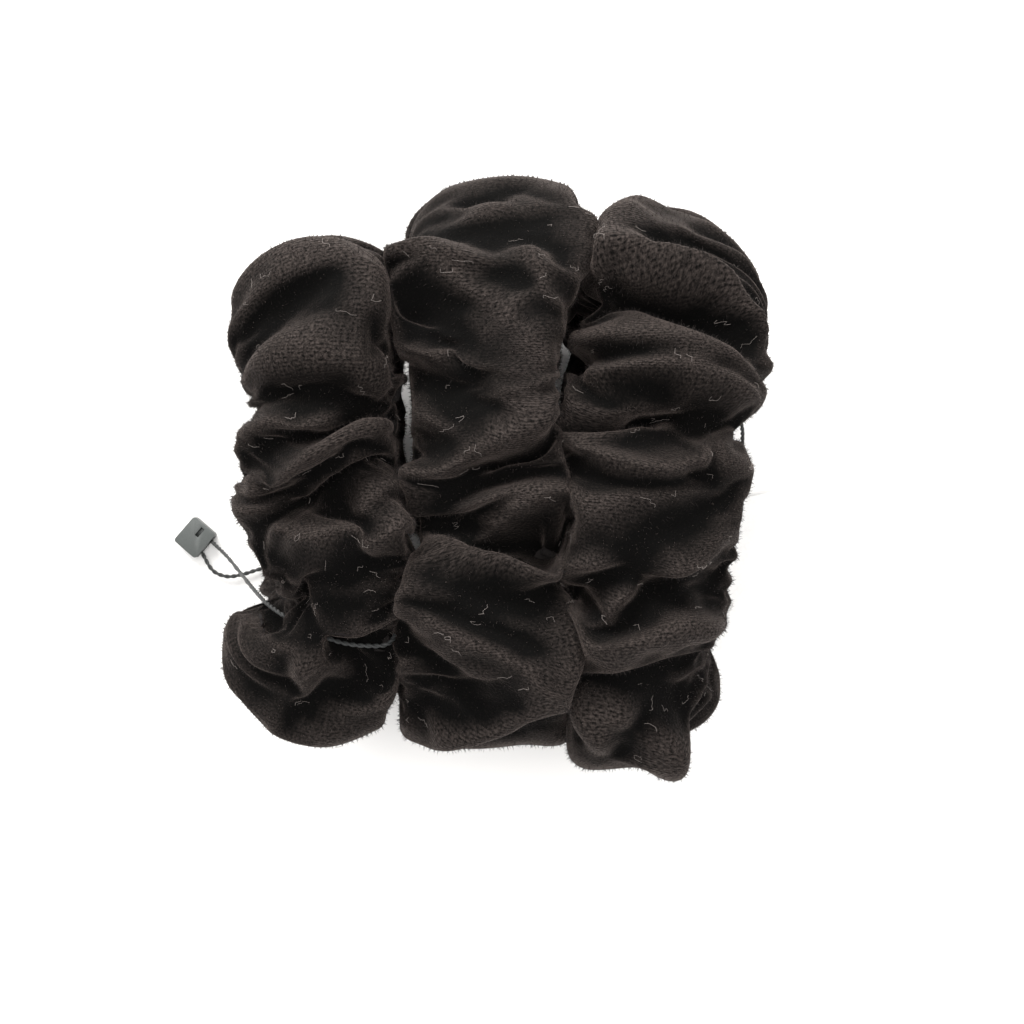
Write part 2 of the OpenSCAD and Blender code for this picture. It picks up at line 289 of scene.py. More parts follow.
# Each fold is a crest seen from above: its height in mm over the sleeve's own swell, how far it
# falls away to the left and to the right of the way that its points run, and those points, across
# and along the loop from its middle. A fold with a negative height is a hollow.
FOLDS = {
    "left": [
        (7, 3, 8, [(-15, 44), (-9, 52), (0, 54), (9, 52), (18, 44)]),
        (11, 2, 11, [(-18, 37), (-14, 41), (-5, 43), (4, 43), (11, 40), (18, 33)]),
        (8, 6, 7, [(-13, 27), (0, 27), (11, 26), (19, 23)]),
        (8, 2.5, 6, [(-17, 8), (-13, 13), (-7, 16), (3, 17)]),
        (11, 3, 5, [(-17, -8), (-14, -1), (-8, 4), (-1, 7), (11, 9)]),
        (10, 4, 1.8, [(-13, -13), (-8, -17), (-3, -17), (5, -15), (13, -12), (20, -9)]),
        (7, 2, 2, [(4, -12), (9, -7), (19, -2)]),
        (13, 10, 2.5, [(-21, -42), (-17, -49), (-8, -53), (3, -54), (14, -52), (20, -45)]),
        (8, 3, 2, [(-7, -38), (1, -48), (6, -48), (17, -36)]),
        (-6, 2, 2, [(-7, -9), (4, -3), (15, 1)]),
        (-5, 3, 3, [(-6, 20), (6, 19), (19, 15)]),
        (-9, 5, 6, [(-19, -27), (-10, -26)]),
        (-3, 3, 3, [(-8, -27), (4, -28), (18, -25)]),
    ],
    "middle": [
        (9, 3, 9, [(-24, 53), (-18, 58), (-8, 61), (3, 62), (12, 60), (18, 55), (22, 45)]),
        (7, 2, 5, [(-10, 54), (-2, 51), (6, 55), (16, 52)]),
        (12, 2, 3, [(-20, 32), (-20, 38), (-16, 42), (-8, 43), (-2, 40)]),
        (10, 1.6, 2, [(-15, 32), (-14, 37), (-9, 39), (-6, 36), (-8, 33)]),
        (8, 3, 2, [(-18, 29), (-12, 23), (-5, 22), (-1, 26)]),
        (11, 3, 9, [(-8, 41), (-1, 33), (6, 28), (10, 22), (10, 15)]),
        (7, 2, 4, [(6, 42), (8, 35), (15, 29)]),
        (6, 4, 6, [(-18, 14), (-10, 11), (-4, 8)]),
        (11, 2, 4, [(-17, -3), (-4, 6), (1, 10), (8, 12), (11, 7), (12, 1), (15, -2)]),
        (8, 3, 2, [(12, -4), (-3, -6)]),
        (11, 2, 3, [(-2, -15), (6, -7), (16, -6), (19, -12), (18, -18), (10, -23), (6, -24),
                    (-1, -23), (-10, -17)]),
        (10, 9, 2, [(-14, -30), (-11, -37), (-5, -46), (3, -51), (10, -48), (19, -42), (23, -33)]),
        (10, 3, 2, [(-18, -42), (-19, -47), (-17, -55), (-8, -56), (1, -53), (10, -51)]),
        (12, 4, 3, [(-21, -53), (-19, -58), (-11, -60), (-1, -63), (6, -64), (12, -62), (16, -57)]),
        (-8, 2.4, 2.4, [(-2, 4), (7, 4)]),
        (-9, 3, 3, [(2, -15), (13, -15)]),
        (-9, 2.4, 2.4, [(-11, 34), (-9, 33)]),
    ],
    "right": [
        (9, 3, 8, [(-10, 54), (-5, 62), (5, 61), (12, 57), (18, 49), (21, 42), (21, 33)]),
        (5, 2, 3, [(-18, 48), (-13, 53)]),
        (11, 2, 2.6, [(-24, 34), (-23, 41), (-16, 46), (-9, 47), (-1, 45), (10, 41), (16, 34),
                      (18, 28)]),
        (9, 4, 4, [(-22, 28), (-8, 27), (8, 25), (17, 22)]),
        (10, 2, 2, [(-16, 21), (-5, 22), (6, 21), (16, 18)]),
        (13, 2.5, 2, [(-24, 22), (-16, 15), (-17, 9), (-12, 2), (-5, 0), (2, 1), (8, 7)]),
        (6, 2, 3, [(-22, 12), (-21, 4), (-18, -2)]),
        (9, 3, 5, [(-18, -7), (-5, -5), (6, -2), (14, 2)]),
        (-7, 4, 4, [(20, 13), (22, 12)]),
        (10, 3, 7, [(13, 7), (17, 4), (17, -1), (14, -8), (10, -14), (5, -16)]),
        (6, 1.5, 2, [(-24, -19), (-7, -14)]),
        (10, 2, 2, [(-26, -20), (-26, -27), (-21, -30), (-13, -30), (-4, -20)]),
        (9, 6, 3, [(-18, -34), (-7, -33), (6, -30), (12, -31)]),
        (7, 3, 3, [(7, -18), (9, -27), (6, -33)]),
        (12, 6, 3, [(-25, -49), (-18, -57), (-9, -62), (-1, -64), (4, -62), (6, -55)]),
        (7, 3, 2, [(-19, -51), (-13, -50), (-7, -53), (-2, -49)]),
        (-7, 2.4, 2.4, [(-19, 37), (-8, 38), (4, 36), (13, 31)]),
        (-12, 4, 4, [(-8, 12), (-4, 11)]),
        (-7, 2.4, 2.4, [(-20, -23), (-12, -23)]),
    ],
}
FOLD_SWELL = 1.15        # the crests' height before the cloth settles
SWELL_R = 8.0            # the sleeve's own swell outward, and sideways
SWELL_W = 14.5
PRESSED_MORE = 4.0       # how much further it swells toward a neighbour, which stops it
FREE_MORE = {"left": -2.5, "middle": 0.0, "right": 0.0}    # the same on its free side
REACH = 19.0             # how far sideways the folds' plan reaches
GATHERS = 17             # plain gathers round the loop where no fold is named
WALL_ROOM = 1.3          # how far the sleeve starts from a neighbour

FLOOR = {"left": 2.0, "middle": -0.3, "right": 2.0}    # what each sleeve rests on, cards included

# Where the neighbouring sleeves press on each other: across, at places along the bundle.
PRESSED = {
    "left": [(-80, -20), (-52, -21), (-41, -22), (-31, -20.5), (-21, -16.5), (-12, -17),
             (-3, -18.8), (13, -18.8), (23, -20), (33, -20.4), (45, -22.5), (80, -22.5)],
    "right": [(-80, 18), (-60, 18), (-52, 17), (-41, 21), (-33, 19), (-24, 14.5), (-12, 18),
              (-6, 17), (8, 14), (13, 14.5), (32, 16), (44, 22), (54, 24), (80, 24)],
}


def pressed_at(which, y):
    table = np.array(PRESSED[which], dtype=float)
    return np.interp(y, table[:, 0], table[:, 1])


def fold_heights(side, x, y):
    """How far the folds stand over the sleeve's swell, at places in the loop's own plan."""
    spots = np.stack([x, y], axis=-1).reshape(-1, 2)
    crests = np.zeros(len(spots))
    hollows = np.zeros(len(spots))
    for height, left, right, points in FOLDS[side]:
        line = spline(points, 4)
        near = np.full(len(spots), 1e9)
        fall = np.full(len(spots), 1.0)
        for a, b in zip(line[:-1], line[1:]):
            step, off = b - a, spots - a
            t = np.clip((off @ step) / (step @ step), 0, 1)
            gap = np.linalg.norm(off - t[:, None] * step, axis=1)
            turn = (step[0] * off[:, 1] - step[1] * off[:, 0]) / (np.linalg.norm(step) * (gap + 0.5))
            share = smooth_step((turn + 1) / 2)
            closer = gap < near
            fall = np.where(closer, right + (left - right) * share, fall)
            near = np.where(closer, gap, near)
        bump = abs(height) * np.exp(-(near / fall) ** 2)
        if height > 0:
            crests = np.maximum(crests, bump)
        else:
            hollows = np.maximum(hollows, bump)
    return (FOLD_SWELL * crests - hollows).reshape(x.shape)


def gathered_sleeve(side):
    """The sleeve as it is put round the elastic: the named folds above, plain gathers below."""
    rng = np.random.default_rng(11 + SIDES.index(side))
    share = np.arange(STATIONS) / STATIONS
    row = np.arange(ROWS) / ROWS * 2 * math.pi
    centre, out = (np.array(v) for v in zip(*(loop_line(side, s, CORE_R) for s in share)))
    radial, across = np.cos(row), np.sin(row)
    outer = (1 + radial) / 2

    plan_y = centre[:, None, 0] + out[:, None, 0] * SWELL_R * np.maximum(radial, 0)
    height = centre[:, None, 1] + out[:, None, 1] * SWELL_R * radial
    above = smooth_step((height - 36.0) / 14.0)
    named = fold_heights(side, np.broadcast_to(REACH * across, plan_y.shape), plan_y)

    lag = sum(size * np.sin(2 * math.pi * times * share + rng.uniform(0, 6))
              for times, size in ((3, 1.1), (5, 0.9), (8, 0.5)))
    plain = 4.5 + 4.5 * np.cos((2 * math.pi * GATHERS * share + lag)[:, None] + 0.9 * across)
    fine = 3 * GATHERS * share + 0.4 * lag + 0.35 * np.sin(2 * math.pi * 7 * share + 1.3 * lag)
    pleats = ((1.6 + 0.9 * np.sin(2 * math.pi * 5 * share + lag)) * np.cos(2 * math.pi * fine))[:, None]
    pleats = pleats * (1 - outer) * outer * 4
    lift = (named * above + plain * (1 - above)) * outer ** 0.5 + pleats

    slot = CORE_R - SLOT_R
    reach_r = np.where(radial > 0, (SWELL_R + lift) * radial, slot * radial)
    pressed = {"left": across > 0, "middle": across ** 2 > 0, "right": across < 0}[side]
    reach_w = (SWELL_W + np.where(pressed, PRESSED_MORE, FREE_MORE[side]) + 0.6 * lift) * across
    local = np.stack([reach_w, centre[:, None, 0] + out[:, None, 0] * reach_r,
                      centre[:, None, 1] + out[:, None, 1] * reach_r], axis=-1)
    placed = to_bundle(side, local)
    placed[..., 2] = np.maximum(placed[..., 2], FLOOR[side] + 1.2)
    if side != "right":
        edge = pressed_at("left" if side == "left" else "right", placed[..., 1])
        placed[..., 0] = np.minimum(placed[..., 0], edge - WALL_ROOM)
    if side != "left":
        edge = pressed_at("right" if side == "right" else "left", placed[..., 1])
        placed[..., 0] = np.maximum(placed[..., 0], edge + WALL_ROOM)
    return placed


def section_middles(side):
    """The middle of the sleeve's section at each station."""
    share = np.arange(STATIONS) / STATIONS
    middle = np.array([loop_line(side, s, CORE_R)[0] for s in share])
    return to_bundle(side, np.stack([np.zeros(STATIONS), middle[:, 0], middle[:, 1]], axis=-1))


def pressed_by_cord(side, cloth, middles, width):
    """Presses a groove in the cloth wherever the cord lies on it, that wide for its depth."""
    if side not in CORD_LINE:
        return cloth
    centre = np.repeat(middles, cloth.shape[1], axis=0)
    out = cloth.reshape(-1, 3).copy()
    start = out.copy()
    for p in CORD_LINE[side][::2]:
        toward = p - centre
        far = np.linalg.norm(toward, axis=1)
        near = (far < 34) & (far > 5) & (np.linalg.norm(start - p, axis=1) < 22)
        if not near.any():
            continue
        e = toward[near] / far[near, None]
        v = out[near] - centre[near]
        h = (v * e).sum(axis=1)
        aside = np.linalg.norm(v - h[:, None] * e, axis=1)
        most = far[near] - CORD_D / 2 - 0.25 + aside ** 2 / width
        push = np.minimum(0.0, most - h) * (aside < 12) * (h > 0)
        out[near] += push[:, None] * e
    return out.reshape(cloth.shape)


# ---------------------------------------------------------------- draping

SIM = 0.01               # simulation units in a millimetre
FRAMES = 24
SPARE = 0.14             # the share of spare cloth that settles into small creases


def slab(name, edges_low, edges_high, bottom, top):
    """A thin upright or lying slab for the cloth to rest on, from its two edges in plan."""
    ring = list(edges_low) + list(edges_high)[::-1]
    n = len(ring)
    points = [(x * SIM, y * SIM, z * SIM) for z in (bottom, top) for x, y in ring]
    faces = [(k, (k + 1) % n, n + (k + 1) % n, n + k) for k in range(n)]
    half = n // 2
    for k in range(half - 1):
        faces.append((k, n - 1 - k, n - 2 - k, k + 1))
        faces.append((n + k, n + k + 1, 2 * n - 2 - k, 2 * n - 1 - k))
    mesh = bpy.data.meshes.new(name)
    mesh.from_pydata(points, [], faces)
    body = bpy.data.objects.new(name, mesh)
    bpy.context.scene.collection.objects.link(body)
    return touching(body)


def touching(body):
    """Makes the cloth rest against a body."""
    body.modifiers.new("touch", "COLLISION")
    body.collision.thickness_outer = 0.004
    body.collision.damping = 0.2
    body.collision.cloth_friction = 8
    return body


def obstacles():
    """The floor under each sleeve and the surfaces where the sleeves press on each other."""
    def level(name, top):
        return slab(name, [(-150, -120), (150, -120)], [(-150, 120), (150, 120)], top - 20, top)
    def wall(which):
        ys = np.arange(-80, 81, 4.0)
        xs = pressed_at(which, ys)
        return slab(f"press_{which}", list(zip(xs + 0.4, ys)), list(zip(xs - 0.4, ys)), -10, 110)
    def cord_body(side):
        mesh_points, faces = tube(CORD_LINE[side][::3], 1.3, 8)
        body = mesh_object(f"touch_{side}_cord", mesh_points * (SIM / MM), faces)
        return touching(body)
    low, high = level("under_middle", FLOOR["middle"]), level("under_outer", FLOOR["left"])
    left, right = wall("left"), wall("right")
    return {"left": (high, left, cord_body("left")), "middle": (low, left, right),
            "right": (high, right, cord_body("right"))}


def drape(shapes):
    """Lets the three gathered sleeves settle together and returns where their points end."""
    scene = bpy.context.scene
    bodies = obstacles()
    cloths, groups = {}, []
    for side, shape in shapes.items():
        group = bpy.data.collections.new(f"touching_{side}")
        scene.collection.children.link(group)
        groups.append(group)
        for body in bodies[side]:
            group.objects.link(body)
        cloth = mesh_object(f"drape_{side}", shape.reshape(-1, 3) * (SIM / MM),
                            ring_faces(STATIONS, ROWS, closed=True))
        held = cloth.vertex_groups.new(name="on_elastic")
        mid = ROWS // 2
        held.add([i * ROWS + j for i in range(STATIONS) for j in (mid - 1, mid, mid + 1)], 1.0,
                 "REPLACE")
        soften = cloth.modifiers.new("velvet", "CLOTH")
        give, touch = soften.settings, soften.collision_settings
        give.quality, give.mass, give.air_damping = 6, 0.15, 4
        give.tension_stiffness = give.compression_stiffness = 15
        give.shear_stiffness, give.bending_stiffness = 4, 0.35
        give.tension_damping = give.compression_damping = give.shear_damping = 8
        give.bending_damping = 0.8
        give.vertex_group_mass = "on_elastic"
        give.shrink_min = give.shrink_max = -SPARE
        give.use_pressure, give.uniform_pressure_force = True, 1.2
        give.effector_weights.gravity = 0.2
        touch.use_self_collision, touch.self_distance_min, touch.self_friction = True, 0.009, 4
        touch.collision_quality, touch.distance_min, touch.collection = 3, 0.006, group
        soften.point_cache.frame_start, soften.point_cache.frame_end = 1, FRAMES
        cloths[side] = cloth
    for step in range(1, FRAMES + 1):
        scene.frame_set(step)
    ready = bpy.context.evaluated_depsgraph_get()
    settled = {}
    for side, cloth in cloths.items():
        places = np.empty(STATIONS * ROWS * 3, dtype="f")
        cloth.evaluated_get(ready).data.vertices.foreach_get("co", places)
        settled[side] = places.reshape(STATIONS, ROWS, 3).astype(float) / SIM
    used = list(cloths.values()) + list({b for group in bodies.values() for b in group})
    for thing in used:
        data = thing.data
        bpy.data.objects.remove(thing)
        bpy.data.meshes.remove(data)
    for group in groups:
        bpy.data.collections.remove(group)
    scene.frame_set(1)
    return settled


def refine(grid):
    """One round of smooth subdivision on a grid that closes both ways."""
    for axis in (0, 1):
        before, after = np.roll(grid, 1, axis), np.roll(grid, -1, axis)
        kept = (before + 6 * grid + after) / 8
        new = (grid + after) / 2
        shape = list(grid.shape)
        shape[axis] *= 2
        out = np.empty(shape)
        index = [slice(None)] * 3
        index[axis] = slice(0, None, 2)
        out[tuple(index)] = kept
        index[axis] = slice(1, None, 2)
        out[tuple(index)] = new
        grid = out
    return grid


def cloth_normals(grid):
    along = np.roll(grid, -1, 0) - np.roll(grid, 1, 0)
    across = np.roll(grid, -1, 1) - np.roll(grid, 1, 1)
    return unit(np.cross(across, along))


# ---------------------------------------------------------------- the velvet pieces

PILE_TUFTS = 44000       # standing fibres on each sleeve
LINT_FIBRES = 60


def stretches(piece):
    """Bakes a soft piece's placement into its mesh."""
    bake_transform(piece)


def crest_share(grid, normals):
    """How far each point of the cloth stands over the cloth round it, from 0 to 1."""
    level = grid
    for _ in range(26):
        level = (level + np.roll(level, 2, 0) + np.roll(level, -2, 0)) / 3
        level = (level + np.roll(level, 1, 1) + np.roll(level, -1, 1)) / 3
    stand = ((grid - level) * normals).sum(axis=-1)
    return smooth_step((stand + 1.2) / 4.0)


def velvet_sleeve(side, grid, normals, velvet, back):
    """The cover: the strip's pile side outward and its knitted back inward, sewn to a ring."""
    n, m = grid.shape[:2]
    points = np.concatenate([grid.reshape(-1, 3), (grid - CLOTH_T * normals).reshape(-1, 3)])
    i, k = np.meshgrid(np.arange(n), np.arange(m), indexing="ij")
    j, l = (i + 1) % n, (k + 1) % m
    quads = np.stack([i * m + k, j * m + k, j * m + l, i * m + l], axis=-1).reshape(-1, 4)
    faces = np.concatenate([quads, quads[:, ::-1] + n * m])
    u = np.stack([i, i + 1, i + 1, i], axis=-1).reshape(-1, 4) / n * STRIP_L[side] * MM
    v = np.stack([k, k, k + 1, k + 1], axis=-1).reshape(-1, 4) / m * STRIP_W * MM
    uv = np.stack([u, v], axis=-1)
    uv = np.concatenate([uv, uv[:, ::-1]])
    cover = mesh_object(f"{side}_velvet_sleeve", points, faces.tolist(), uv=uv)
    cover.data.materials.append(velvet)
    cover.data.materials.append(back)
    inner = [0] * len(quads) + [1] * len(quads)
    cover.data.polygons.foreach_set("material_index", inner)
    # The crest share is kept as an attribute for the velvet finish, which uses it to paint light on the
    # crests and shade in the hollows.
    crest_painted_light = cover.data.attributes.new("crest_painted_light", "FLOAT", "POINT")
    crest_painted_light.data.foreach_set("value", np.tile(crest_share(grid, normals).reshape(-1), 2).astype("f"))
    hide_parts(f"{side}_cover")
    stretches(cover)
    return cover


def seam_allowance(side, grid, normals, material):
    """Two layers of the knitted back, sewn together along the sleeve and hidden inside it."""
    row = grid.shape[1] // 4
    edge, inward = grid[:, row], -normals[:, row]
    along = unit(np.roll(edge, -1, 0) - np.roll(edge, 1, 0))
    aside = np.cross(along, inward)
    root, tip = CLOTH_T + 0.05, CLOTH_T + SEAM_W
    corners = ((root, -0.5), (root, 0.5), (tip, 0.5), (tip, -0.5))
    ring = np.stack([edge + deep * inward + wide * SEAM_T * aside for deep, wide in corners], axis=1)
    strip = mesh_object(f"{side}_seam_allowance", ring.reshape(-1, 3),
                        ring_faces(len(edge), 4, closed=True), smooth=False)
    strip.data.materials.append(material)
    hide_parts(f"{side}_long_seam")
    stretches(strip)


def closing_station(side, count):
    """The station where the strip's two ends meet."""
    run = LENGTH[side] - LOOP_H
    whole = 2 * run + 2 * math.pi * CORE_R
    return round(count * (run + CORE_R * math.radians(90 + CLOSING_DOWN)) / whole)


def closing_fold(side, grid, normals, velvet, thread):
    """The tucked end of the strip, and the thread that closes it to the other end."""
    count, rows = grid.shape[:2]
    middle = closing_station(side, count)
    half = CLOSING_HALF
    picks = np.arange(middle - half, middle + half + 1) % count
    proud = 0.75 * np.sin(np.linspace(0.12, 1, len(picks)) * math.pi) ** 0.35
    over = grid[picks] + (0.08 + proud[:, None, None]) * normals[picks]
    under = grid[picks] + 0.02 * normals[picks]
    ring = np.concatenate([over, under[::-1]]).transpose(1, 0, 2)
    band = mesh_object(f"{side}_closing_fold", ring.reshape(-1, 3),
                       ring_faces(rows, ring.shape[1], closed=True))
    band.data.materials.append(velvet)
    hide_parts(f"{side}_closing_band")
    stretches(band)

    edge = middle + half
    line = grid[edge % count]
    run = np.concatenate([[0], np.cumsum(np.linalg.norm(np.diff(line, axis=0), axis=1))])
    parts = []
    for place in np.arange(1.0, run[-1] - 1.0, STITCH_PITCH):
        row = int(np.searchsorted(run, place)) % rows
        stations = [(edge + step) % count for step in (-4, -2, 0, 2, 3)]
        lifts = (0.7, 1.05, 0.85, 0.4, -0.1)
        points = [grid[s, row] + lift * normals[s, row] for s, lift in zip(stations, lifts)]
        parts.append(tube(spline(points, 3), 0.22, 6))
    stitches = mesh_object(f"{side}_closing_thread", *joined(parts))
    stitches.data.materials.append(thread)
    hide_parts(f"{side}_closing_stitches")
    stretches(stitches)


def elastic_band(side, material):
    """The flat braided elastic inside: seven rubber cores under a braid."""
    cores, stations = 7, 320
    turn = np.linspace(0, math.pi, cores * 6 + 1)
    half_w, thick = ELASTIC_W / 2, ELASTIC_R[1] - ELASTIC_R[0]
    x = np.linspace(-half_w, half_w, len(turn))
    rise = thick / 2 * (0.72 + 0.28 * np.abs(np.sin(cores * turn)))
    profile = [(a, b) for a, b in zip(x, rise)] + [(a, -b) for a, b in zip(x[::-1], rise[::-1])]
    radius = sum(ELASTIC_R) / 2
    rings = []
    for s in np.arange(stations) / stations:
        point, out = loop_line(side, s, radius)
        rings.append([(a, point[0] + b * out[0], point[1] + b * out[1]) for a, b in profile])
    points = to_bundle(side, np.array(rings).reshape(-1, 3))
    uv = []
    around = len(profile)
    for i in range(stations):
        for k in range(around):
            uv += [(i * 0.6, k * 0.4), (i * 0.6, (k + 1) * 0.4), ((i + 1) * 0.6, (k + 1) * 0.4),
                   ((i + 1) * 0.6, k * 0.4)]
    band = mesh_object(f"{side}_elastic_band", points, ring_faces(stations, around, closed=True),
                       uv=np.array(uv) * MM)
    band.data.materials.append(material)
    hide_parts(f"{side}_elastic")
    stretches(band)


def sewn_lap(side, elastic, thread):
    """The elastic's lapped ends and the bars of thread through them."""
    for node, material, slot in ((f"{side}_elastic_lap", elastic, "elastic"),
                                 (f"{side}_elastic_stitches", thread, "thread")):
        piece = bpy.data.objects.new(f"{node}_sewn", softened(node, 0.12))
        bpy.context.scene.collection.objects.link(piece)
        piece.data.materials.clear()
        piece.data.materials.append(material)
        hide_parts(node)
        stretches(piece)


def softened(node, radius):
    """A copy of a node's mesh with its edges rounded by that radius in millimetres."""
    copy = bpy.data.objects.new(f"{node}_edges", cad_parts[node].data.copy())
    bpy.context.scene.collection.objects.link(copy)
    weld = copy.modifiers.new("weld", "WELD")
    weld.merge_threshold = 0.004 * MM
    flat = copy.modifiers.new("flat", "DECIMATE")
    flat.decimate_type, flat.angle_limit = "DISSOLVE", math.radians(1)
    edge = copy.modifiers.new("edge", "BEVEL")
    edge.width, edge.segments, edge.limit_method = radius * MM, 3, "ANGLE"
    edge.angle_limit = math.radians(32)
    edge.harden_normals = True
    ready = bpy.context.evaluated_depsgraph_get()
    mesh = bpy.data.meshes.new_from_object(copy.evaluated_get(ready))
    bpy.data.objects.remove(copy)
    mesh.polygons.foreach_set("use_smooth", [True] * len(mesh.polygons))
    return mesh


def pile(side, grid, normals, material, tufts):
    """Short loose fibres that stand out of the velvet along its outlines and creases."""
    rng = np.random.default_rng(31 + SIDES.index(side))
    flat, up = grid.reshape(-1, 3), normals.reshape(-1, 3)
    weight = 0.25 + crest_share(grid, normals).reshape(-1)
    pick = rng.choice(len(flat), tufts, p=weight / weight.sum())
    lean = unit(up[pick] + rng.normal(0, 0.35, (tufts, 3)))
    foot = flat[pick] + rng.normal(0, 0.15, (tufts, 3)) - 0.25 * up[pick]
    tip = foot + lean * (0.7 + rng.uniform(0, 0.6, (tufts, 1)))
    side_a = unit(np.cross(lean, rng.normal(size=(tufts, 3)))) * 0.075
    side_b = np.cross(lean, side_a)
    points = np.stack([foot + side_a, foot - 0.5 * side_a + 0.87 * side_b,
                       foot - 0.5 * side_a - 0.87 * side_b, tip], axis=1).reshape(-1, 3)
    start = np.arange(tufts)[:, None] * 4
    faces = np.concatenate([start + f for f in ((0, 2, 1), (0, 1, 3), (1, 2, 3), (2, 0, 3))])
    fuzz = mesh_object(f"{side}_pile", points, faces.tolist(), smooth=False)
    fuzz.data.materials.append(material)
    stretches(fuzz)


def lint(side, grid, normals, material, fibres):
    """Pale fibres that velvet picks up, lying on the pile of the upper half."""
    rng = np.random.default_rng(57 + SIDES.index(side))
    n, m = grid.shape[:2]
    high = [(i, k) for i in range(0, n, 3) for k in range(0, m, 3)
            if normals[i, k, 2] > 0.25 and grid[i, k, 2] > 45]
    parts = []
    for _ in range(fibres):
        i, k = high[rng.integers(len(high))]
        place, heading = np.array([i, k], dtype=float), rng.uniform(0, 2 * math.pi)
        bend, steps = rng.normal(0, 0.45), int(rng.integers(4, 9))
        points = []
        for _ in range(steps):
            a, b = int(round(place[0])) % n, int(round(place[1])) % m
            points.append(grid[a, b] + (0.35 + rng.uniform(0, 0.35)) * normals[a, b])
            place += (0.8 * math.cos(heading), 0.6 * math.sin(heading))
            heading += bend + rng.normal(0, 0.3)
        parts.append(tube(spline(points, 3), 0.018 + rng.uniform(0, 0.014), 5))
    threads = mesh_object(f"{side}_lint", *joined(parts))
    threads.data.materials.append(material)
    stretches(threads)


# ---------------------------------------------------------------- cards and seals

def moulded_seal(side, body_finish, plug_finish):
    """The seal's block and plug with their moulded edges."""
    pieces = []
    for part, finish, slot, radius in (("body", body_finish, "seal", 0.35),
                                       ("plug", plug_finish, "seal_plug", 0.2)):
        node = f"{side}_seal_{part}"
        piece = bpy.data.objects.new(f"{node}_moulded", softened(node, radius))
        bpy.context.scene.collection.objects.link(piece)
        piece.data.materials.clear()
        piece.data.materials.append(finish)
        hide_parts(node)
        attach(piece, f"{side}_loop")
        pieces.append(piece)
    return pieces


# ---------------------------------------------------------------- finishes

class Nodes:
    """Short calls for putting a finish together."""

    def __init__(self, tree):
        self.tree = tree

    def add(self, kind, **values):
        node = self.tree.nodes.new(kind)
        for name, value in values.items():
            if name in node.inputs and not hasattr(node, name):
                node.inputs[name].default_value = value
            else:
                setattr(node, name, value)
        return node

    def link(self, a, b):
        self.tree.links.new(a, b)

    def maths(self, operation, a, b=None):
        node = self.tree.nodes.new("ShaderNodeMath")
        node.operation = operation
        for socket, value in zip(node.inputs, (a, b)):
            if value is None:
                continue
            if isinstance(value, (int, float)):
                socket.default_value = value
            else:
                self.link(value, socket)
        return node.outputs[0]

    def noise(self, vector, scale, detail=3.0, rough=0.55, stretch=None):
        if stretch is not None:
            mapping = self.tree.nodes.new("ShaderNodeMapping")
            mapping.inputs["Scale"].default_value = stretch
            self.link(vector, mapping.inputs["Vector"])
            vector = mapping.outputs["Vector"]
        node = self.tree.nodes.new("ShaderNodeTexNoise")
        node.inputs["Scale"].default_value = scale
        node.inputs["Detail"].default_value = detail
        node.inputs["Roughness"].default_value = rough
        self.link(vector, node.inputs["Vector"])
        return node.outputs["Fac"]

    def ramp(self, value, low, high):
        node = self.tree.nodes.new("ShaderNodeMapRange")
        node.inputs["From Min"].default_value = low
        node.inputs["From Max"].default_value = high
        self.link(value, node.inputs["Value"])
        return node.outputs["Result"]

    def blend_colours(self, value, low, high):
        node = self.tree.nodes.new("ShaderNodeMix")
        node.data_type = "RGBA"
        for name, colour in (("A", low), ("B", high)):
            socket = [s for s in node.inputs if s.name == name and s.type == "RGBA"][0]
            if isinstance(colour, tuple):
                socket.default_value = (*colour, 1)
            else:
                self.link(colour, socket)
        self.link(value, node.inputs["Factor"])
        return [s for s in node.outputs if s.type == "RGBA"][0]


def new_group(name, inputs, outputs):
    """A shader node group with named inputs (name, start value) and outputs (name, kind)."""
    tree = bpy.data.node_groups.new(name, "ShaderNodeTree")
    for label, value in inputs:
        socket = tree.interface.new_socket(label, in_out="INPUT", socket_type="NodeSocketFloat")
        socket.default_value = value
    for label, kind in outputs:
        tree.interface.new_socket(label, in_out="OUTPUT", socket_type=kind)
    return tree, tree.nodes.new("NodeGroupInput"), tree.nodes.new("NodeGroupOutput")


